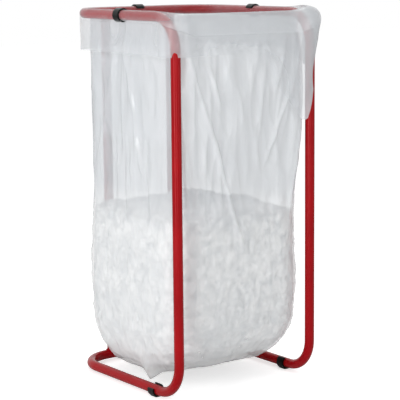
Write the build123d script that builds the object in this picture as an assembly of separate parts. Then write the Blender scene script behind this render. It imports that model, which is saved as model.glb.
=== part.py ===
from build123d import *
import math
import os

# Free-standing holder for a waste sack: a stand bent from steel tube, the moulded clips
# that pinch the sack on its hoop, the feet under its base, the film sack and the loose
# film waste in it. X runs across the stand, -Y is the open front and Z is up from the floor.

# Steel tube and its bends
tube_od = 25.0
tube_wall = 1.5
frame_width = 422.0         # between the centrelines of the side rails
frame_depth = 466.0         # from the centreline of the front uprights to that of the back rails
frame_rise = 936.0          # from the centreline of the base rails to that of the hoop
upright_bend_radius = 80.0
corner_bend_radius = 90.0
rear_upright_inset = 106.0  # from the centreline of a side rail
weld_gap = 0.2
weld_leg = 3.0

# One moulded clip, used open side down on the hoop and open side up as a foot
clip_od = 35.0
clip_length = 25.0
clip_gap_deg = 100.0
clip_turn_deg = 45.0        # how far the open side is turned from the vertical
clip_fit = 0.2
foot_rise = 5.0             # underside of the tube above the floor
foot_pad_width = 16.0
front_foot_setback = 103.0  # behind the axis of the front uprights
rear_foot_spacing = 35.0    # inboard of the axis of a rear upright

# Film sack, with a wall thick enough to be a solid
film_wall = 1.2
film_gap = 0.3
cuff_depth = 94.0           # from the centreline of the hoop down to the turned-over hem
join_depth = 40.0           # from the centreline of the hoop down to the body of the sack
join_overlap = 10.0
corner_slack = 4.0          # extra room for the cuff round a front upright
front_setback = 11.0        # film behind the axis of the front uprights, at the mouth
front_corner_radius = 30.0
front_ridge_reach = 6.0     # from the inner layer to the top of the fold, across the open front
front_ridge_drop = 7.0      # of that fold below the fold on the rails
front_shoulder_drop = 45.0
sack_bottom = 32.0
pleat_count = 11
pleat_ripple = 29
section_points = 44

# Loose film waste in the sack
heap_height = 462.0
heap_shoulder_drop = 34.0   # from the top of the heap to where it meets the film
heap_crown_draw = 110.0     # how far in from the film the top of the heap begins
heap_lumps = 7
heap_lump_depth = 26.0
heap_gap = 0.3
heap_side_gap = 2.0

# Body of the sack, from its top to its bottom: share of the drop, how far the sides and
# the front stand out past the mouth, how far the back draws in, corner radius, pleat depth
sack_levels = (
    (0.000, 0.0, 0.0, 0.0, 30.0, 0.0),
    (0.060, 0.0, 12.0, 0.0, 30.0, 2.0),
    (0.170, 0.0, 18.0, 1.0, 32.0, 5.0),
    (0.300, 0.0, 14.0, 2.0, 45.0, 6.0),
    (0.480, 1.0, 6.0, 2.0, 70.0, 6.0),
    (0.620, 8.0, 6.0, 1.0, 78.0, 5.0),
    (0.760, 12.0, 6.0, 1.0, 78.0, 4.0),
    (0.870, 9.0, 0.0, 3.0, 80.0, 4.0),
    (0.935, -2.0, -10.0, 10.0, 84.0, 3.0),
    (0.975, -18.0, -28.0, 26.0, 88.0, 2.0),
    (1.000, -44.0, -54.0, 52.0, 88.0, 0.0),
)

tube_radius = tube_od / 2
film_inner_radius = tube_radius + film_gap
film_radius = film_inner_radius + film_wall
clip_radius = clip_od / 2
half_width = frame_width / 2
box_shift = corner_slack / 2     # keeps the origin under the middle of the whole part
front_y = box_shift - frame_depth / 2
back_y = box_shift + frame_depth / 2
base_z = foot_rise + tube_radius
hoop_z = base_z + frame_rise
join_z = hoop_z - join_depth
mouth_half = half_width - film_radius
mouth_back = back_y - film_radius
mouth_front = front_y + front_setback
back_corner_radius = corner_bend_radius - film_radius
rear_upright_x = half_width - rear_upright_inset
bend_start_y = front_y + upright_bend_radius


def tube_ring():
    return Circle(tube_radius) - Circle(tube_radius - tube_wall)


def follow(section, path):
    """Carry a flat section along a path of straight runs and round bends, upright all the way."""
    body = None
    for edge in path.edges().sort_by(path):
        start, forward, onward = edge @ 0, edge % 0, edge % 1
        level = abs(forward.Z) < 0.5
        across = Vector(0, 0, 1).cross(forward) if level else Vector(1, 0, 0)
        face = Plane(origin=start, x_dir=across, z_dir=forward) * section
        if edge.geom_type == GeomType.LINE:
            piece = extrude(face, edge.length, dir=forward)
        else:
            axis = Axis(edge.arc_center, forward.cross(onward))
            piece = revolve(face, axis, revolution_arc=90)
        body = piece if body is None else body + piece
    return body


def rail_rod(height, radius):
    """Solid rod along the back rail at the given height."""
    rod = Cylinder(radius, frame_width, rotation=(0, 90, 0))
    return Pos(0, back_y, height) * rod


def frame_loop():
    """The whole stand but for its rear uprights: one tube bent eight times and closed on itself."""
    path = FilletPolyline(
        (0, back_y, hoop_z),
        (-half_width, back_y, hoop_z),
        (-half_width, front_y, hoop_z),
        (-half_width, front_y, base_z),
        (-half_width, back_y, base_z),
        (0, back_y, base_z),
        radius=[corner_bend_radius, upright_bend_radius, upright_bend_radius, corner_bend_radius],
    )
    left = follow(tube_ring(), path)
    return left + mirror(left, about=Plane.YZ)


def rear_upright(side):
    """Straight tube, its ends coped to the two back rails, with a fillet weld round each end."""
    place = Pos(side * rear_upright_x, back_y, (base_z + hoop_z) / 2)
    tube = place * extrude(tube_ring(), frame_rise / 2, both=True)
    bore = place * Cylinder(tube_radius - tube_wall, frame_rise)
    crotch = place * Box(2 * tube_od, tube_od, 2 * frame_rise)
    for height in (base_z, hoop_z):
        rod = place * Cylinder(tube_radius + weld_leg, frame_rise)
        bead = (rod & rail_rod(height, tube_radius + weld_leg) & crotch) - bore
        tube += bead
    for height in (base_z, hoop_z):
        tube -= rail_rod(height, tube_radius + weld_gap)
    return tube


def clip_face(bore_radius, turn, pad=False):
    """Section of the clip, open downwards and then turned; a foot has a flat pad opposite."""
    ring = Circle(clip_radius)
    reach = 2 * clip_radius
    half_gap = math.radians(clip_gap_deg / 2)
    corner_x = reach * math.tan(half_gap)
    mouth = make_face(Polyline((0, 0), (corner_x, -reach), (-corner_x, -reach), close=True))
    face = ring - Circle(bore_radius) - mouth
    face = fillet(face.vertices(), 0.4 * (clip_radius - bore_radius))
    face = Rot(0, 0, turn) * face
    if pad:
        block_height = tube_radius
        block = Pos(0, block_height / 2 - clip_radius) * Rectangle(foot_pad_width, block_height)
        face += block - Circle(bore_radius)
    return face


def clip_at(x, y, z, along, face):
    """Extrude a clip section along the rail that it sits on."""
    across = Vector(0, 0, 1).cross(along)
    plane = Plane(origin=(x, y, z), x_dir=across, z_dir=across.cross(Vector(0, 0, 1)))
    return extrude(plane * face, clip_length / 2, both=True)


def bag_clip(x, y, along, outward):
    """Clip on the hoop, its open side down and towards the mouth."""
    face = clip_face(film_radius + clip_fit, outward * clip_turn_deg)
    return clip_at(x, y, hoop_z, along, face)


def foot(x, y, along, outward):
    """The same clip under a base rail, its open side up and outwards."""
    face = clip_face(tube_radius + clip_fit, 180 + outward * clip_turn_deg, pad=True)
    return clip_at(x, y, base_z, along, face)


def ring_point(half, front, back, front_radius, back_radius, share):
    """Point and outward direction on a rounded outline, by share of its length from the back."""
    near = share if share <= 0.5 else 1 - share
    side = -1 if share <= 0.5 else 1
    quarter = math.pi / 2
    runs = (
        half - back_radius,
        quarter * back_radius,
        (back - back_radius) - (front + front_radius),
        quarter * front_radius,
        half - front_radius,
    )
    left = 2 * near * sum(runs)
    step = 0
    while step < len(runs) - 1 and left > runs[step]:
        left -= runs[step]
        step += 1
    if step == 0:
        x, y, turn = left, back, quarter
    elif step == 1:
        turn = quarter - left / back_radius
        x = half - back_radius + back_radius * math.cos(turn)
        y = back - back_radius + back_radius * math.sin(turn)
    elif step == 2:
        x, y, turn = half, back - back_radius - left, 0.0
    elif step == 3:
        turn = -left / front_radius
        x = half - front_radius + front_radius * math.cos(turn)
        y = front + front_radius + front_radius * math.sin(turn)
    else:
        x, y, turn = half - front_radius - left, front, -quarter
    return Vector(side * x, y), Vector(side * math.cos(turn), math.sin(turn))


def level_face(level, height, inset, pleats=pleat_count):
    """Horizontal section of the sack at one level, drawn in by the inset."""
    share, sides, front_out, back_in, radius, pleat = level
    half = mouth_half + sides - inset
    front = mouth_front - front_out + inset
    back = mouth_back - back_in - inset
    back_radius = max(radius, back_corner_radius) - inset
    points = []
    for step in range(section_points):
        around = step / section_points
        point, outward = ring_point(half, front, back, radius - inset, back_radius, around)
        turn = 2 * math.pi * around
        fold = 0.6 * math.cos(pleats * turn) + 0.4 * math.cos(pleat_ripple * turn)
        point -= outward * pleat * (1 - fold) / 2
        points.append((point.X, point.Y, height))
    return make_face(Polyline(*points, close=True))


def level_height(level):
    return join_z - level[0] * (join_z - sack_bottom)


def sack_body():
    """Open film tube with a closed bottom, its mouth lapped inside the turned-over fold."""
    skin = film_wall / 2
    top = sack_levels[0]
    outer = [level_face(top, join_z + join_overlap, -skin)]
    inner = [level_face(top, join_z + 2 * join_overlap, skin)]
    for level in sack_levels:
        height = level_height(level)
        outer.append(level_face(level, height, -skin))
        floor = film_wall if level is sack_levels[-1] else 0
        inner.append(level_face(level, height + floor, skin))
    return loft(outer, ruled=True) - loft(inner, ruled=True)


def arch(width, ridge, top, inner_shoulder, outer_shoulder, inset):
    """Two quarter ellipses over the top of the fold, which meet at the ridge."""
    inner_rise = top - inset - inner_shoulder
    outer_rise = top - inset - outer_shoulder
    inner = EllipticalCenterArc((ridge, inner_shoulder), ridge - inset, inner_rise, 90)
    outer = EllipticalCenterArc((ridge, outer_shoulder), width - ridge - inset, outer_rise)
    return [inner, outer]


def fold_section(width, blend):
    """Upright section of the turned-over film, from the body's side to the cuff's hem.

    A blend of 0 fits the tube of a rail and 1 is the free fold across the open front.
    """
    ridge = film_radius + blend * (front_ridge_reach - film_radius)
    top = film_radius - blend * front_ridge_drop
    inner_shoulder = -blend * front_ridge_drop
    outer_shoulder = -blend * front_shoulder_drop
    sizes = (width, ridge, top, inner_shoulder, outer_shoulder)
    edges = arch(*sizes, 0) + arch(*sizes, film_wall)
    edges += [
        Line((0, -join_depth), (0, inner_shoulder)),
        Line((film_wall, -join_depth), (film_wall, inner_shoulder)),
        Line((0, -join_depth), (film_wall, -join_depth)),
        Line((width, -cuff_depth), (width, outer_shoulder)),
        Line((width - film_wall, -cuff_depth), (width - film_wall, outer_shoulder)),
        Line((width, -cuff_depth), (width - film_wall, -cuff_depth)),
    ]
    return make_face(edges)


def fold_face(inner, outer, blend):
    """The fold's section, stood between a point on the body and one on the cuff."""
    across = outer - inner
    x_dir = across.normalized()
    plane = Plane(origin=(inner.X, inner.Y, hoop_z), x_dir=x_dir, z_dir=x_dir.cross(Vector(0, 0, 1)))
    return plane * fold_section(across.length, blend)


def front_fold():
    """Left half of the fold where it leaves the rail, rounds the upright and spans the front."""
    cuff_radius = film_radius + corner_slack
    centre = Vector(front_corner_radius - mouth_half, mouth_front + front_corner_radius)
    upright = Vector(-half_width, front_y)
    to_upright = upright - centre
    side_reach = half_width + cuff_radius + centre.X
    front_reach = centre.Y - (front_y - cuff_radius)
    first = math.atan2(-to_upright.Y, side_reach)
    last = math.atan2(front_reach, -to_upright.X)
    quarter = math.pi / 2

    side = []
    for step in range(3):
        y = bend_start_y + (centre.Y - bend_start_y) * step / 2
        reach = half_width + film_radius + corner_slack * step / 4
        side.append(fold_face(Vector(-mouth_half, y), Vector(-reach, y), step / 8))
    corner = [side[-1]]
    turns = (first / 2, first, (first + last) / 2, last, (last + quarter) / 2, quarter)
    for count, turn in enumerate(turns, 1):
        ray = Vector(-math.cos(turn), -math.sin(turn))
        if turn < first:
            reach = (side_reach - corner_slack / 4) / math.cos(turn)
        elif turn <= last:
            along = ray.dot(to_upright)
            reach = along + math.sqrt(cuff_radius**2 - to_upright.length**2 + along**2)
        else:
            reach = front_reach / math.sin(turn)
        blend = 0.25 + 0.75 * count / len(turns)
        corner.append(fold_face(centre + ray * front_corner_radius, centre + ray * reach, blend))
    middle = fold_face(Vector(0, mouth_front), Vector(0, front_y - cuff_radius), 1)
    return loft(side) + loft(corner) + loft([corner[-1], middle])


def rail_fold():
    """The fold over the two side rails and the back rail of the hoop, one constant section."""
    path = FilletPolyline(
        (-half_width, bend_start_y, hoop_z),
        (-half_width, back_y, hoop_z),
        (half_width, back_y, hoop_z),
        (half_width, bend_start_y, hoop_z),
        radius=corner_bend_radius,
    )
    section = Pos(-film_radius, 0) * fold_section(2 * film_radius, 0)
    return follow(section, path)


def sack(pinches):
    """The film sack, slotted where each clip pinches it."""
    half = front_fold()
    film = rail_fold() + half + mirror(half, about=Plane.YZ) + sack_body()
    for pinch in pinches:
        film -= pinch
    return film


def level_at(height):
    """The sack's level at any height, in line between its two neighbours."""
    share = (join_z - height) / (join_z - sack_bottom)
    after = next(count for count, level in enumerate(sack_levels) if level[0] >= share)
    upper, lower = sack_levels[after - 1], sack_levels[after]
    part = (share - upper[0]) / (lower[0] - upper[0])
    return tuple(high + part * (low - high) for high, low in zip(upper, lower))


def heap():
    """Loose film waste: fills the bottom of the sack and ends in a low, lumpy crown."""
    inset = film_wall / 2 + heap_side_gap
    shoulder_z = heap_height - heap_shoulder_drop
    faces = []
    for level in reversed(sack_levels):
        height = level_height(level)
        if height < shoulder_z:
            lift = film_wall + heap_gap if level is sack_levels[-1] else 0
            faces.append(level_face(level, height + lift, inset))
    faces.append(level_face(level_at(shoulder_z), shoulder_z, inset))
    for step in (1, 2):
        height = shoulder_z + heap_shoulder_drop * step / 2
        draw = heap_crown_draw * step**2 / 4
        share, sides, front_out, back_in, radius, pleat = level_at(height)
        crown = (share, sides - draw, front_out - draw, back_in + draw, radius, heap_lump_depth)
        faces.append(level_face(crown, height, inset, heap_lumps))
    return loft(faces, ruled=True)


def main():
    os.makedirs("parts", exist_ok=True)
    along_y = Vector(0, 1, 0)
    along_x = Vector(1, 0, 0)
    clip_places = {
        "bag_clip_left": (-half_width, box_shift, along_y, 1),
        "bag_clip_back": (0, back_y, along_x, 1),
        "bag_clip_right": (half_width, box_shift, along_y, -1),
    }
    front_foot_y = front_y + front_foot_setback
    rear_foot_x = rear_upright_x - rear_foot_spacing
    foot_places = {
        "foot_front_left": (-half_width, front_foot_y, along_y, 1),
        "foot_front_right": (half_width, front_foot_y, along_y, -1),
        "foot_rear_left": (-rear_foot_x, back_y, along_x, 1),
        "foot_rear_right": (rear_foot_x, back_y, along_x, 1),
    }
    parts = {
        "frame_loop": frame_loop(),
        "rear_upright_left": rear_upright(-1),
        "rear_upright_right": rear_upright(1),
    }
    for name, place in clip_places.items():
        parts[name] = bag_clip(*place)
    for name, place in foot_places.items():
        parts[name] = foot(*place)
    pinches = [bag_clip(*place) for place in clip_places.values()]
    parts["sack"] = sack(pinches)
    parts["film_waste"] = heap()
    for name, shape in parts.items():
        shape.label = name
        export_step(shape, f"parts/{name}.step")


main()
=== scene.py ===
import math

import bmesh
import bpy
import numpy as np
from mathutils import Matrix, Vector


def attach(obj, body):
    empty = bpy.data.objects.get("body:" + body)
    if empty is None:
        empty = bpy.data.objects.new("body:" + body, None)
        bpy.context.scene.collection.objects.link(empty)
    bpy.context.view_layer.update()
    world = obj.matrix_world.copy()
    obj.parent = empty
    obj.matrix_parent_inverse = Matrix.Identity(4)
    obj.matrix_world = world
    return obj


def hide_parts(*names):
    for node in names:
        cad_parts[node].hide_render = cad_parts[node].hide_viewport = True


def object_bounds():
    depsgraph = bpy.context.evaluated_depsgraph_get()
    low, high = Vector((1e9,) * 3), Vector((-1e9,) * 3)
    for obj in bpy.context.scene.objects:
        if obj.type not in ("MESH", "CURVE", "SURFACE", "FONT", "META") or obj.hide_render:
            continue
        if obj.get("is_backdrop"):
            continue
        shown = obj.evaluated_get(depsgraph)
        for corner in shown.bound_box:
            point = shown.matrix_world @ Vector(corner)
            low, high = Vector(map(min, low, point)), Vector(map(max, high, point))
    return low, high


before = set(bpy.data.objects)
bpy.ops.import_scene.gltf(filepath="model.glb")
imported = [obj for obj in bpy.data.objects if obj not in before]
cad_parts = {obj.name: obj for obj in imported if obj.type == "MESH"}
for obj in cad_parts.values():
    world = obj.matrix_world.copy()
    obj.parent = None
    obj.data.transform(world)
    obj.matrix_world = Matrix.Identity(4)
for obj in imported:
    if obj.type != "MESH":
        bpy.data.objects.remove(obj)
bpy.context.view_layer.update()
scene = bpy.context.scene

# Camera: a long lens, a little above the hoop, that looks past the front left upright.
# The angles and distance come from a fit to the straight runs of the tube in the photograph.
target, distance = Vector((0.0342, 0.0075, 0.4596)), 3.977
turn, lift, roll = math.radians(-36.52), math.radians(9.11), math.radians(-0.55)
back = Vector((math.sin(turn) * math.cos(lift), -math.cos(turn) * math.cos(lift), math.sin(lift)))
right = Vector((0, 0, 1)).cross(back).normalized()
up = back.cross(right)
lens = bpy.data.cameras.new("camera")
lens.lens, lens.sensor_width = 135.17, 36.0
lens.clip_start, lens.clip_end = 0.1, 60.0
camera = bpy.data.objects.new("camera", lens)
scene.collection.objects.link(camera)
across = right * math.cos(roll) + up * math.sin(roll)
upwards = up * math.cos(roll) - right * math.sin(roll)
camera.matrix_world = (
    Matrix.Translation(target + back * distance)
    @ Matrix((across, upwards, back)).transposed().to_4x4()
)
scene.camera = camera


# Steel tube: the bent loop and its two rear uprights, under one satin coat of red powder.
# The coat has the faint orange peel of baked powder and is a little thinner and darker in places.
def colour(code):
    """Linear colour from an sRGB hex value."""
    parts = [int(code[at : at + 2], 16) / 255 for at in (0, 2, 4)]
    return (*[c / 12.92 if c <= 0.04045 else ((c + 0.055) / 1.055) ** 2.4 for c in parts], 1.0)


def add(tree, kind, values=None, **settings):
    """A node with its settings, and its inputs set to a value or linked from another node."""
    made = tree.nodes.new(kind)
    for name, value in settings.items():
        setattr(made, name, value)
    for name, value in (values or {}).items():
        if isinstance(value, bpy.types.NodeSocket):
            tree.links.new(value, made.inputs[name])
        else:
            made.inputs[name].default_value = value
    return made


def material(name):
    """A new material with a Principled shader, its node tree and that shader."""
    made = bpy.data.materials.new(name)
    made.use_nodes = True
    tree = made.node_tree
    tree.nodes.clear()
    shader = add(tree, "ShaderNodeBsdfPrincipled")
    add(tree, "ShaderNodeOutputMaterial", {"Surface": shader.outputs[0]})
    return made, tree, shader


coat, tree, shader = material("red_powder_coat")  # polyester powder baked on steel: soft highlights
shader.inputs["Roughness"].default_value = 0.23
shader.inputs["Specular IOR Level"].default_value = 0.34
shader.inputs["Specular Tint"].default_value = colour("FF9C9C")
place = add(tree, "ShaderNodeTexCoord").outputs["Object"]
# thicker and thinner coat in patches of about 110 mm
cloud = add(tree, "ShaderNodeTexNoise", {"Vector": place, "Scale": 9.0, "Detail": 3.0})
shade = add(tree, "ShaderNodeValToRGB", {"Fac": cloud.outputs["Fac"]})
for stop, at, code in zip(shade.color_ramp.elements, (0.35, 0.70), ("930710", "A20A13")):
    stop.position, stop.color = at, colour(code)
tree.links.new(shade.outputs["Color"], shader.inputs["Base Color"])
# orange peel of about 2 mm
peel = add(tree, "ShaderNodeTexNoise", {"Vector": place, "Scale": 520.0, "Detail": 2.0})
bump = add(tree, "ShaderNodeBump", {
    "Strength": 0.18, "Distance": 0.0006, "Height": peel.outputs["Fac"],
})
tree.links.new(bump.outputs["Normal"], shader.inputs["Normal"])
for name in ("frame_loop", "rear_upright_left", "rear_upright_right"):
    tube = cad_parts[name]
    tube.data.materials.clear()
    tube.data.materials.append(coat)

# Clips and feet: seven short C-clips of black moulded plastic, pushed on the tube. The three on
# the hoop open inwards and a little down. The feet open up and a little outwards, with a flat pad.
plastic, tree, shader = material("black_moulded_plastic")  # polypropylene: near black, dull gloss
shader.inputs["Base Color"].default_value = colour("080A09")
shader.inputs["Roughness"].default_value = 0.3
shader.inputs["Specular IOR Level"].default_value = 0.2
place = add(tree, "ShaderNodeTexCoord").outputs["Object"]
# grain of the mould, about 1 mm, coarser than the real one so that it shows
grain = add(tree, "ShaderNodeTexNoise", {"Vector": place, "Scale": 900.0, "Detail": 2.0})
bump = add(tree, "ShaderNodeBump", {
    "Strength": 0.25, "Distance": 0.0004, "Height": grain.outputs["Fac"],
})
tree.links.new(bump.outputs["Normal"], shader.inputs["Normal"])

# centres of the tube and sizes of the clips, in millimetres, and the angles of their open sides
half_width, front_y, back_y, hoop_z, base_z = 211.0, -231.0, 235.0, 953.5, 17.5
clip_outer, clip_length, hoop_bore, foot_bore, pad_half = 17.5, 25.0, 14.2, 12.7, 8.0
hoop_clip_y, front_foot_y, rear_foot_x = 2.0, -128.0, 70.0
hoop_opening, foot_opening = 205.0, 68.0


def bow(radius, start, end, count, centre=(0.0, 0.0)):
    """Points along part of a circle, from one angle in degrees to another."""
    angles = np.radians(np.linspace(start, end, count))
    return [(centre[0] + radius * math.cos(a), centre[1] + radius * math.sin(a)) for a in angles]


def clip_section(bore, opening, pad):
    """Outline of the C, its round tips about 95 degrees apart and its open side at an angle."""
    first, last = opening + 55.0, opening + 305.0
    middle, tip = (clip_outer + bore) / 2, (clip_outer - bore) / 2
    points = [
        (x, -clip_outer if pad and y < 0 and abs(x) < pad_half else y)
        for x, y in bow(clip_outer, first, last, 53)
    ]
    points += bow(tip, last + 20, last + 160, 6, bow(middle, last, last, 1)[0])
    points += bow(bore, last, first, 53)
    points += bow(tip, first + 200, first + 340, 6, bow(middle, first, first, 1)[0])
    return points


# each with its place on the tube and the way that is outwards there
for name, spot, out in (
    ("bag_clip_left", (-half_width, hoop_clip_y, hoop_z), (-1, 0)),
    ("bag_clip_back", (0, back_y, hoop_z), (0, 1)),
    ("bag_clip_right", (half_width, hoop_clip_y, hoop_z), (1, 0)),
    ("foot_front_left", (-half_width, front_foot_y, base_z), (-1, 0)),
    ("foot_front_right", (half_width, front_foot_y, base_z), (1, 0)),
    ("foot_rear_left", (-rear_foot_x, back_y, base_z), (0, 1)),
    ("foot_rear_right", (rear_foot_x, back_y, base_z), (0, 1)),
):
    if name.startswith("foot"):
        section = clip_section(foot_bore, foot_opening, True)
    else:
        section = clip_section(hoop_bore, hoop_opening, False)
    shape = bmesh.new()
    near, far = (
        [
            shape.verts.new((
                (spot[0] + x * out[0] + end * out[1]) * 0.001,
                (spot[1] + x * out[1] - end * out[0]) * 0.001,
                (spot[2] + y) * 0.001,
            ))
            for x, y in section
        ]
        for end in (-clip_length / 2, clip_length / 2)
    )
    for k in range(len(section)):
        after = (k + 1) % len(section)
        shape.faces.new((near[k], near[after], far[after], far[k]))
    caps = [shape.faces.new(near), shape.faces.new(list(reversed(far)))]
    bmesh.ops.recalc_face_normals(shape, faces=shape.faces)
    rims = list({edge for cap in caps for edge in cap.edges})
    bmesh.ops.bevel(shape, geom=rims, offset=0.0006, segments=2, affect="EDGES", clamp_overlap=True)
    mesh = bpy.data.meshes.new("moulded_" + name)
    shape.to_mesh(mesh)
    shape.free()
    mesh.materials.append(plastic)
    mesh.shade_smooth()
    mesh.set_sharp_from_angle(angle=math.radians(50))
    clip = bpy.data.objects.new("moulded_" + name, mesh)
    scene.collection.objects.link(clip)
    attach(clip, "root")
    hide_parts(name)

# Film sack: one clear film tube with a closed bottom, turned down over the hoop as a cuff,
# pinched by the three clips, pulled tight over the open front and loose at the right corner.
# Below the top of the waste its wall is pushed out in small lumps. Sizes here are in millimetres.
mouth_half, mouth_front, mouth_back, mouth_radius = 197.0, -220.0, 221.0, 30.0
join_z, sack_bottom, film_radius = 913.5, 32.0, 13.4
# share of the drop, then how far the sides and the front bulge, how far the back draws in,
# and the radius of the corners
levels = np.array((
    (0.000, 0, 0, 0, 30), (0.060, 0, 12, 0, 30), (0.170, 0, 18, 1, 32), (0.300, 0, 14, 2, 45),
    (0.480, 1, 6, 2, 70), (0.620, 8, 6, 1, 78), (0.760, 12, 6, 1, 78), (0.870, 9, 0, 3, 80),
    (0.935, -2, -10, 10, 84), (0.975, -18, -28, 26, 88), (1.000, -44, -54, 52, 88),
), float)


def outline(share, inset, around):
    """Points and outward directions round the sack, by share of its drop and share of its girth."""
    sides, out, draw, radius = (np.interp(share, levels[:, 0], levels[:, k]) for k in (1, 2, 3, 4))
    half = mouth_half + sides - inset
    front, rear = mouth_front - out + inset, mouth_back - draw - inset
    ahead, behind = radius - inset, max(radius, 76.0) - inset  # corner radii, front and rear
    quarter = math.pi / 2
    straight = rear - behind - front - ahead
    ends = np.cumsum((half - behind, quarter * behind, straight, quarter * ahead, half - ahead))
    side = np.where(around <= 0.5, -1.0, 1.0)
    gone = 2 * np.where(around <= 0.5, around, 1 - around) * ends[-1]  # from the middle of the back
    on = [gone <= end for end in ends[:4]]
    angle = np.select(on, [
        quarter, quarter - (gone - ends[0]) / behind, 0.0, -(gone - ends[2]) / ahead,
    ], -quarter)
    x = np.select(on, [
        gone, half - behind + behind * np.cos(angle), half, half - ahead + ahead * np.cos(angle),
    ], half - ahead - (gone - ends[3]))
    y = np.select(on, [
        rear, rear - behind + behind * np.sin(angle), rear - behind - (gone - ends[1]),
        front + ahead + ahead * np.sin(angle),
    ], front)
    point = np.stack((side * x, y), -1)
    outward = np.stack((side * np.cos(angle), np.sin(angle)), -1)
    return point, outward, 2 * ends[-1]


def field(u, v, cells, seed, sharp=False):
    """Smooth or faceted random field from -1 to 1, periodic in u."""
    rng = np.random.default_rng(seed)
    grid = rng.uniform(-1, 1, (cells[0], cells[1] + 2))
    x, y = (u % 1.0) * cells[0], np.clip(v, 0, 1) * cells[1]
    i, j = np.floor(x).astype(int), np.floor(y).astype(int)
    fx, fy = x - i, y - j
    if not sharp:
        fx, fy = fx * fx * (3 - 2 * fx), fy * fy * (3 - 2 * fy)
    i, k = i % cells[0], (i + 1) % cells[0]
    low = grid[i, j] * (1 - fx) + grid[k, j] * fx
    high = grid[i, j + 1] * (1 - fx) + grid[k, j + 1] * fx
    return low * (1 - fy) + high * fy


def ridged(u, v, cells, seed, sharp=False):
    """The same field folded over, so that its zero lines stand up as ridges at 1."""
    return 1 - 2 * np.abs(field(u, v, cells, seed, sharp))


def step(x, low, high):
    """Smooth rise from 0 to 1 between two values."""
    t = np.clip((x - low) / (high - low), 0, 1)
    return t * t * (3 - 2 * t)


def crease(a, z, start, end, width, height):
    """A tension fold along a line on the film, by distance round the sack and height."""
    run = np.array(end, float) - np.array(start, float)
    along = ((a - start[0]) * run[0] + (z - start[1]) * run[1]) / (run @ run)
    off = ((a - start[0]) * run[1] - (z - start[1]) * run[0]) / math.hypot(*run)
    taper = step(along, -0.05, 0.2) * (1 - step(along, 0.8, 1.05))
    return height * taper * np.exp(-np.abs(off / width) ** 1.5)


columns = 440
around = np.arange(columns) / columns
mouth, outward, girth = outline(0.0, 0.0, around)
mouth_x, mouth_y = mouth.T
arc = (around - 0.5) * girth  # distance round from the middle of the front, to the right
side_arc = mouth_half - mouth_radius + math.pi / 2 * mouth_radius  # where the front corner ends

# how far round the corner and along the front each column is: 0 on the rails and 1 on the front
bend_y, corner_y = -151.0, mouth_front + mouth_radius
corner_angle = np.arctan2(-outward[:, 1], np.abs(outward[:, 0]))
on_front = mouth_y < corner_y
blend = np.where(on_front, 0.25 + 0.75 * np.clip(corner_angle / (math.pi / 2), 0, 1), 0.0)
before_corner = (mouth_y < bend_y) & ~on_front
blend = np.where(before_corner, 0.25 * (bend_y - mouth_y) / (bend_y - corner_y), blend)
blend = np.clip(blend, 0, 1)

# how far out from the mouth the cuff hangs: over the rail, round the upright and over the front
slack = 4.0
cuff = film_radius + slack
to_upright = np.stack((np.sign(mouth_x) * half_width, np.full(columns, front_y)), -1) - mouth
along = (to_upright * outward).sum(-1)
gap = cuff**2 - (to_upright**2).sum(-1) + along**2
round_upright = np.where(gap > 0, along + np.sqrt(np.clip(gap, 0, None)), 1e3)
to_front = (mouth_y - (front_y - cuff)) / np.maximum(-outward[:, 1], 1e-3)
to_side = (half_width + cuff - np.abs(mouth_x)) / np.maximum(np.abs(outward[:, 0]), 1e-3)
over_front = np.minimum(np.minimum(to_front, to_side), round_upright)
over_side = half_width + film_radius + slack * np.clip(blend, 0, 0.25) - mouth_half
width = np.where(on_front, over_front, over_side)
evened = np.convolve(np.r_[width[-4:], width, width[:4]], np.ones(9) / 9, "valid")
width = np.where(blend > 0, evened, 2 * film_radius)

# where the back, left and right clips pinch the film against the rail
half_round = columns // 2
left_clip = np.interp(-2.0, mouth_y[:half_round][::-1], around[:half_round][::-1])
pinch = np.zeros(columns)
for centre in (0.0, 1.0, left_clip, 1 - left_clip):
    pinch = np.maximum(pinch, 1 - step(np.abs(around - centre) * girth, 11.0, 46.0))

ridge = film_radius + blend * (6.0 - film_radius)
top = film_radius - 7.0 * blend
inner_shoulder, outer_shoulder = -7.0 * blend, -45.0 * blend
right_corner = np.exp(-(((arc - side_arc + 12.0) / 34.0) ** 2))
left_corner = np.exp(-(((arc + side_arc - 12.0) / 40.0) ** 2))
back_corners = np.exp(-(((np.abs(arc) - 660.0) / 60.0) ** 2))
corner_out, corner_over, corner_up = 20.0 * right_corner, 11.0 * right_corner, 7.0 * right_corner
# depth of the cuff by distance round: a long tail hangs at the right corner
hem = np.interp(arc, *zip(
    (-60, 94), (40, 128), (140, 235), (168, 270), (175, 272),
    (184, 218), (193, 166), (205, 148), (240, 112), (300, 94),
))
hem += 2.0 * field(around, around * 0, (24, 1), 4)

rows = []


def row(offset, height, move=0.0):
    """One row of the film: offset from the mouth's outline and height from the hoop's centre."""
    xy = mouth + outward * (np.broadcast_to(offset, columns) + move)[:, None]
    rows.append(np.column_stack((xy, hoop_z + np.broadcast_to(height, columns))))


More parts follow.
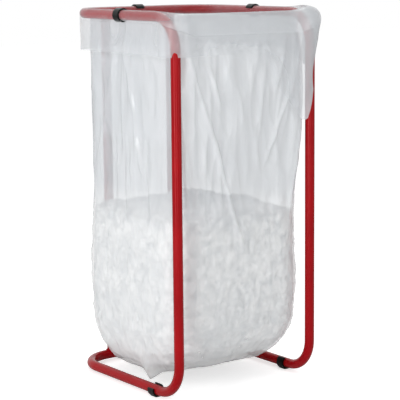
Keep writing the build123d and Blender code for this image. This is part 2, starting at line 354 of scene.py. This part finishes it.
cuff_rows, wrap_rows, arch_rows, throat_rows = 34, 8, 10, 6
under = pinch * math.radians(112) * np.clip(1 - blend * 4, 0, 1)
start_x = width - film_radius + film_radius * np.cos(under)
start_z = outer_shoulder - film_radius * np.sin(under)
for count in range(cuff_rows):
    t = 1 - count / cuff_rows  # 1 at the hem and 0 where the film meets the rail
    height = start_z + (-hem - start_z) * t
    loose = step(t, 0.0, 0.7)
    fall = start_x + (width - start_x) * step(t, 0.15, 1.0) * 0.9
    waves = 3.4 * field(around, np.full(columns, 0.4 * t), (44, 2), 11) * loose
    waves += 1.6 * ridged(around + 0.01 * t, np.full(columns, t), (74, 2), 12) * loose
    waves -= 15.0 * back_corners * loose
    waves = np.where(np.abs(np.abs(arc) - side_arc) < 60.0, np.maximum(waves, -1.2), waves)
    flare = 21.0 * right_corner * np.exp(-(((height + 12.0) / 56.0) ** 2))
    flare += 5.0 * left_corner * np.exp(-(((height + 60.0) / 34.0) ** 2))
    folds = 5.0 * right_corner * ridged(around * 3.0, np.full(columns, 0.2 * t), (42, 1), 14)
    gather = -4.0 * right_corner * np.exp(-(((height + 150.0) / 50.0) ** 2))
    row(fall, height, waves + flare + gather + folds * step(t, 0.05, 0.4) + 1.5 * loose)
for count in range(wrap_rows):  # round the outside of the tube, where a clip holds the film on it
    turned = under * (1 - count / wrap_rows)
    depth = film_radius * np.sin(turned) + 0.04 * (wrap_rows - count)
    row(width - film_radius + film_radius * np.cos(turned), outer_shoulder - depth, corner_out)
for count in range(arch_rows):  # up the outside to the top
    turned = math.pi / 2 * count / arch_rows
    rise = (top + corner_up - outer_shoulder) * math.sin(turned)
    move = corner_out * math.cos(turned) + corner_over * math.sin(turned)
    row(ridge + (width - ridge) * math.cos(turned), outer_shoulder + rise, move)
top_row = len(rows)
for count in range(arch_rows):  # from the top down the inside
    turned = math.pi / 2 * (1 - count / arch_rows)
    rise = (top + corner_up - inner_shoulder) * math.sin(turned)
    row(ridge - ridge * math.cos(turned), inner_shoulder + rise, corner_over * math.sin(turned))
for count in range(throat_rows):
    row(0.0, inner_shoulder + (-34.0 - inner_shoulder) * count / throat_rows)
upper_rows = len(rows)


def height_at(share):
    """Height of the wall by share of its drop."""
    return join_z - share * (join_z - sack_bottom)


def settle(point, share):
    """How far the bottom is lifted at the front, where the film is drawn back."""
    return 32.0 * step(share, 0.80, 0.985) * step(-point[:, 1], 20.0, 190.0)


# each fold's two ends, by distance round and height, then its half width and how far it stands out
tension_folds = (
    ((-131, 950), (-108, 868), 5.0, 5.0), ((-112, 838), (-78, 722), 5.0, 6.0),
    ((-108, 690), (0, 350), 6.0, 7.0), ((196, 905), (60, 560), 6.0, 6.0),
    ((206, 900), (150, 420), 7.0, 6.0), ((-190, 905), (-70, 560), 6.0, 5.0),
    ((-205, 900), (-170, 480), 6.0, 5.0), ((150, 930), (90, 760), 5.0, 4.0),
    ((-440, 920), (-330, 520), 7.0, 5.0), ((-450, 920), (-560, 560), 7.0, 5.0),
    ((440, 920), (330, 520), 7.0, 5.0), ((450, 920), (560, 560), 7.0, 5.0),
)
for share in np.linspace(-0.004, 1.0, 132):
    point, out, _ = outline(max(share, 0.0), 0.0, around)
    z = height_at(share)
    v = np.full(columns, np.clip(share, 0, 1))
    free = step(share, 0.0, 0.07)
    filled = step(share, 0.47, 0.60)
    low = step(share, 0.86, 1.0)
    hang = 6.0 * field(around + 0.015 * share, v, (38, 3), 21)
    hang += 3.2 * ridged(around - 0.02 * share, v, (62, 5), 22)
    hang += 1.8 * ridged(around + 0.09 * share, v, (52, 9), 23)
    hang += 1.8 * ridged(around - 0.10 * share, v, (48, 9), 24)
    lumps = 2.6 * field(around, v, (54, 30), 31)
    lumps += 1.6 * ridged(around, v, (90, 48), 32, True)
    lumps += 1.0 * ridged(around + 0.2 * v, v, (120, 66), 33, True)
    push = free * ((1 - filled) * (hang - 4.0) + filled * (lumps - 1.0))
    push += 7.0 * low * (field(around, v, (34, 3), 41) - 0.4)
    for fold in tension_folds:
        push = push + free * crease(arc, z, *fold)
    ear = np.exp(-(((arc + side_arc + 118.0) / 22.0) ** 2)) * step(share, 0.93, 1.0)
    xy = point + out * (push + 24.0 * ear)[:, None]
    rows.append(np.column_stack((xy, z + settle(point, share) - 16.0 * ear)))
bottom_ring, lifted = rows[-1][:, :2], rows[-1][:, 2] - sack_bottom
centre = bottom_ring.mean(0)
for count in range(1, 12):
    draw = 1 - count / 11.5
    crush = 5.0 * field(around, np.full(columns, count / 12), (40, 8), 51) * (count > 1)
    ring = centre + (bottom_ring - centre) * draw
    rows.append(np.column_stack((ring, sack_bottom + 1.5 + lifted * draw**3 + np.abs(crush) * 0.6)))


def sheet_mesh(name, rows, finish):
    """Mesh of closed rings, joined row by row, with its own map in metres round and along it."""
    points = np.concatenate(rows) * 0.001
    count, size = len(rows), len(rows[0])
    faces = []
    for r in range(count - 1):
        for c in range(size):
            d = (c + 1) % size
            faces.append((r * size + c, r * size + d, (r + 1) * size + d, (r + 1) * size + c))
    faces.append(tuple((count - 1) * size + c for c in range(size)))
    mesh = bpy.data.meshes.new(name)
    mesh.from_pydata(points.tolist(), [], faces)
    runs = np.linalg.norm(np.diff(np.stack(rows), axis=0), axis=2).mean(1)
    v = np.r_[0.0, np.cumsum(runs)] * 0.001
    loops = np.empty(len(mesh.loops), int)
    mesh.loops.foreach_get("vertex_index", loops)
    u = (loops % size) / size
    starts = np.repeat([p.loop_start for p in mesh.polygons], [p.loop_total for p in mesh.polygons])
    wraps = (u == 0) & ((loops[starts] % size) == size - 1)
    u = np.where(wraps, 1.0, u) * girth * 0.001
    layer = mesh.uv_layers.new(name="film")
    layer.data.foreach_set("uv", np.column_stack((u, v[loops // size])).ravel())
    mesh.materials.append(finish)
    mesh.shade_smooth()
    mesh.update()
    piece = bpy.data.objects.new(name, mesh)
    scene.collection.objects.link(piece)
    return piece


film, tree, shader = material("clear_film")  # thin polyethylene: glossy, and milky seen edge on
shader.inputs["Roughness"].default_value = 0.2
shader.inputs["IOR"].default_value = 1.5
place = add(tree, "ShaderNodeTexCoord").outputs["Object"]
height_of = add(tree, "ShaderNodeSeparateXYZ", {"Vector": place}).outputs["Z"]
# painted shade by height: the film is coloured greyer above about 0.52 m, for the shaded inside
# seen through it, and whiter below about 0.40 m, for the lit white waste behind it; the real film
# has one colour
painted_shade_by_height = add(tree, "ShaderNodeValToRGB", {"Fac": height_of})
for stop, at, code in zip(painted_shade_by_height.color_ramp.elements, (0.40, 0.52), ("F2F4F5", "D9DDE1")):
    stop.position, stop.color = at, colour(code)
tree.links.new(painted_shade_by_height.outputs["Color"], shader.inputs["Base Color"])
wall = add(tree, "ShaderNodeUVMap", uv_map="film").outputs["UV"]
# drawn lines about 30 mm apart and 200 mm long, and crumples of about 15 mm
stretch = add(tree, "ShaderNodeMapping", {"Vector": wall, "Scale": (34.0, 5.0, 1.0)})
long_lines = add(tree, "ShaderNodeTexNoise", {
    "Vector": stretch.outputs["Vector"], "Scale": 1.0, "Detail": 4.0, "Distortion": 0.6,
})
small = add(tree, "ShaderNodeMapping", {"Vector": wall, "Scale": (75.0, 60.0, 1.0)})
fine = add(tree, "ShaderNodeTexVoronoi", {"Vector": small.outputs["Vector"], "Scale": 1.0},
           feature="F1", distance="EUCLIDEAN")
bump_long = add(tree, "ShaderNodeBump", {
    "Strength": 0.5, "Distance": 0.004, "Height": long_lines.outputs["Fac"],
})
bump_fine = add(tree, "ShaderNodeBump", {
    "Strength": 0.10, "Distance": 0.002, "Height": fine.outputs["Distance"],
    "Normal": bump_long.outputs["Normal"],
})
tree.links.new(bump_fine.outputs["Normal"], shader.inputs["Normal"])
# alpha from how milky the film is there, and more of it where the film is seen edge on
facing = add(tree, "ShaderNodeLayerWeight", {
    "Blend": 0.35, "Normal": bump_fine.outputs["Normal"],
})
milky = add(tree, "ShaderNodeAttribute", attribute_name="milk").outputs["Fac"]
edge_on = add(tree, "ShaderNodeMath", {0: milky, 1: 0.62, 2: 0.36}, operation="MULTIPLY_ADD")
clear = add(tree, "ShaderNodeMapRange", {
    "Value": facing.outputs["Facing"], "From Min": 0.05, "From Max": 0.95,
    "To Min": milky, "To Max": edge_on.outputs[0],
})
tree.links.new(clear.outputs["Result"], shader.inputs["Alpha"])

sack = sheet_mesh("film_sack", rows, film)
drop = hoop_z - np.stack(rows)[:, :, 2]
milk = np.full((len(rows), columns), 0.52)
milk[:cuff_rows] = 0.36
# clear where it lies on the tube, and clearer by the bends of the hoop
on_tube = (1 - step(drop[:upper_rows], 4.0, 22.0)) * (1 - blend)
milk[:upper_rows] += (0.05 - milk[:upper_rows]) * on_tube
near_bend = np.clip(1 - np.abs(blend - 0.2) / 0.3, 0, 1) * (1 - step(drop[:cuff_rows], 60.0, 110.0))
milk[:cuff_rows] += (0.22 - milk[:cuff_rows]) * near_bend
# gathered and milky at the right corner, and the hem fades out across the front
milk[:top_row] += (0.88 - milk[:top_row]) * right_corner**0.7
fade = step(arc, -150.0, -40.0) * (1 - step(arc, 84.0, 150.0))
to_hem = step(np.linspace(1, 0, cuff_rows)[:, None], 0.25, 0.95)
milk[:cuff_rows] *= 1 - 0.93 * fade * to_hem
# milkier on the left side above the middle, and even where the waste lies behind
left_side = step(-arc, side_arc, side_arc + 60.0)
milk += 0.14 * left_side * (1 - step(drop, 290.0, 330.0)) * (1 - step(-drop, -120.0, -94.0))
filled_rows = step(drop, 470.0, 520.0)
milk = milk * (1 - filled_rows) + 0.36 * filled_rows
layers = sack.data.attributes.new("milk", "FLOAT", "POINT")
layers.data.foreach_set("value", np.clip(milk, 0.02, 0.95).ravel().astype(np.float32))
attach(sack, "root")
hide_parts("sack")

# Film waste: crumpled white film and scraps, thrown in loose, that fill the lower half of the sack.
# It presses against the film in small facets and ends in a low, uneven top. In millimetres.
spokes, film_gap, low_share, rim_share = 400, 3.2, 0.985, 0.532
rows = []
ring = np.arange(spokes) / spokes
for share in np.linspace(low_share, rim_share, 84):
    point, out, _ = outline(share, film_gap, ring)
    v = np.full(spokes, (share - 0.5) * 2)
    dent = 2.4 * np.abs(field(ring, v, (70, 20), 61, True))
    dent += 2.6 * np.abs(field(ring + 0.1 * v, v, (112, 34), 62, True))
    dent += 2.0 * np.abs(field(ring - 0.2 * v, v, (170, 52), 63, True))
    dent += 5.0 * step(share, 0.93, low_share)
    rows.append(np.column_stack((
        point - out * dent[:, None], height_at(share) + settle(point, share),
    )))
brim = rows[-1][:, :2]
centre = brim.mean(0)
for t in np.arange(1, 44) / 43:  # from the brim to the middle of the top
    draw = 1 - t * 0.985
    v = np.full(spokes, t)
    lump = 16.0 * field(ring, v, (22, 5), 71)
    lump += 10.0 * np.abs(field(ring, v, (48, 12), 72, True))
    lump += 6.0 * np.abs(field(ring, v, (80, 26), 73, True))
    crown = height_at(rim_share) + 8.0 * math.sin(min(t * 2.4, 1.0) * math.pi / 2)
    rows.append(np.column_stack((
        centre + (brim - centre) * draw, crown + lump * step(t, 0, 0.12) * draw**0.5,
    )))

waste, tree, shader = material("crumpled_white_film")  # polyethylene scraps: dull white, creased
shader.inputs["Roughness"].default_value = 0.45
place = add(tree, "ShaderNodeTexCoord").outputs["Object"]
# scraps of about 20 mm with creases of about 30 mm
patches = add(tree, "ShaderNodeTexVoronoi", {
    "Vector": place, "Scale": 52.0, "Randomness": 1.0,
}, feature="F1")
folds = add(tree, "ShaderNodeTexNoise", {
    "Vector": place, "Scale": 34.0, "Detail": 5.0, "Roughness": 0.6, "Distortion": 1.4,
})
# painted shade: the scraps are coloured grey where the crease noise is low and white where it is
# high, the same noise that bumps the creases
shade = add(tree, "ShaderNodeValToRGB", {"Fac": folds.outputs["Fac"]})
for stop, at, code in zip(shade.color_ramp.elements, (0.36, 0.62), ("D8DBDE", "FFFFFF")):
    stop.position, stop.color = at, colour(code)
tree.links.new(shade.outputs["Color"], shader.inputs["Base Color"])
bump_patch = add(tree, "ShaderNodeBump", {
    "Strength": 0.45, "Distance": 0.008, "Height": patches.outputs["Distance"],
})
bump_fold = add(tree, "ShaderNodeBump", {
    "Strength": 0.7, "Distance": 0.004, "Height": folds.outputs["Fac"],
    "Normal": bump_patch.outputs["Normal"],
})
tree.links.new(bump_fold.outputs["Normal"], shader.inputs["Normal"])
heap = sheet_mesh("waste_heap", rows, waste)
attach(heap, "root")
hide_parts("film_waste")

# Floor and light: a pale floor that keeps the soft shadow, and a white surround, full to the camera
# and in reflections and weaker as light. A large lamp stands on the left, weaker ones on the right
# and in front, and one hangs above.
paper, tree, shader = material("white_floor")  # matt paper, lit a little more for the camera alone
shader.inputs["Base Color"].default_value = colour("F0F0F0")
shader.inputs["Roughness"].default_value = 0.9
shader.inputs["Specular IOR Level"].default_value = 0.1
path = add(tree, "ShaderNodeLightPath")
glow_level = add(tree, "ShaderNodeMath", {
    0: path.outputs["Is Camera Ray"], 1: 0.62,
}, operation="MULTIPLY")
glow = add(tree, "ShaderNodeEmission", {
    "Color": (1, 1, 1, 1), "Strength": glow_level.outputs[0],
})
both = add(tree, "ShaderNodeAddShader", {0: shader.outputs[0], 1: glow.outputs[0]})
output = next(node for node in tree.nodes if node.bl_idname == "ShaderNodeOutputMaterial")
tree.links.new(both.outputs[0], output.inputs["Surface"])
mesh = bpy.data.meshes.new("floor")
mesh.from_pydata([(-14, -14, 0), (14, -14, 0), (14, 14, 0), (-14, 14, 0)], [], [(0, 1, 2, 3)])
mesh.materials.append(paper)
floor = bpy.data.objects.new("floor", mesh)
scene.collection.objects.link(floor)
floor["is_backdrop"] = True

world = bpy.data.worlds.new("studio")
scene.world = world
world.use_nodes = True
tree = world.node_tree
tree.nodes.clear()
path = add(tree, "ShaderNodeLightPath").outputs
direct = add(tree, "ShaderNodeMath", {
    0: path["Is Camera Ray"], 1: path["Is Transmission Ray"],
}, operation="MAXIMUM")
seen = add(tree, "ShaderNodeMath", {
    0: direct.outputs[0], 1: path["Is Glossy Ray"],
}, operation="MAXIMUM")
level = add(tree, "ShaderNodeMapRange", {"Value": seen.outputs[0], "To Min": 0.45, "To Max": 1.0})
sky = add(tree, "ShaderNodeBackground", {
    "Color": (1, 1, 1, 1), "Strength": level.outputs["Result"],
})
add(tree, "ShaderNodeOutputWorld", {"Surface": sky.outputs[0]})
for name, spot, wide, tall, power in (
    ("lamp_left", (-2.9, -0.9, 1.25), 0.7, 2.4, 46.0),
    ("lamp_right", (0.9, -3.1, 1.25), 0.5, 2.0, 13.0),
    ("lamp_front", (-1.5, -2.5, 0.5), 0.8, 0.8, 10.0),
    ("lamp_above", (0.4, 0.8, 2.7), 1.6, 1.6, 16.0),
):
    light = bpy.data.lights.new(name, "AREA")
    light.shape, light.size, light.size_y, light.energy = "RECTANGLE", wide, tall, power
    lamp = bpy.data.objects.new(name, light)
    lamp.location = spot
    aim = Vector((0, 0, 0.5 if name == "lamp_above" else spot[2])) - Vector(spot)
    lamp.rotation_euler = aim.to_track_quat("-Z", "Y").to_euler()
    scene.collection.objects.link(lamp)

scene.view_settings.view_transform = "Standard"
low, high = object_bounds()
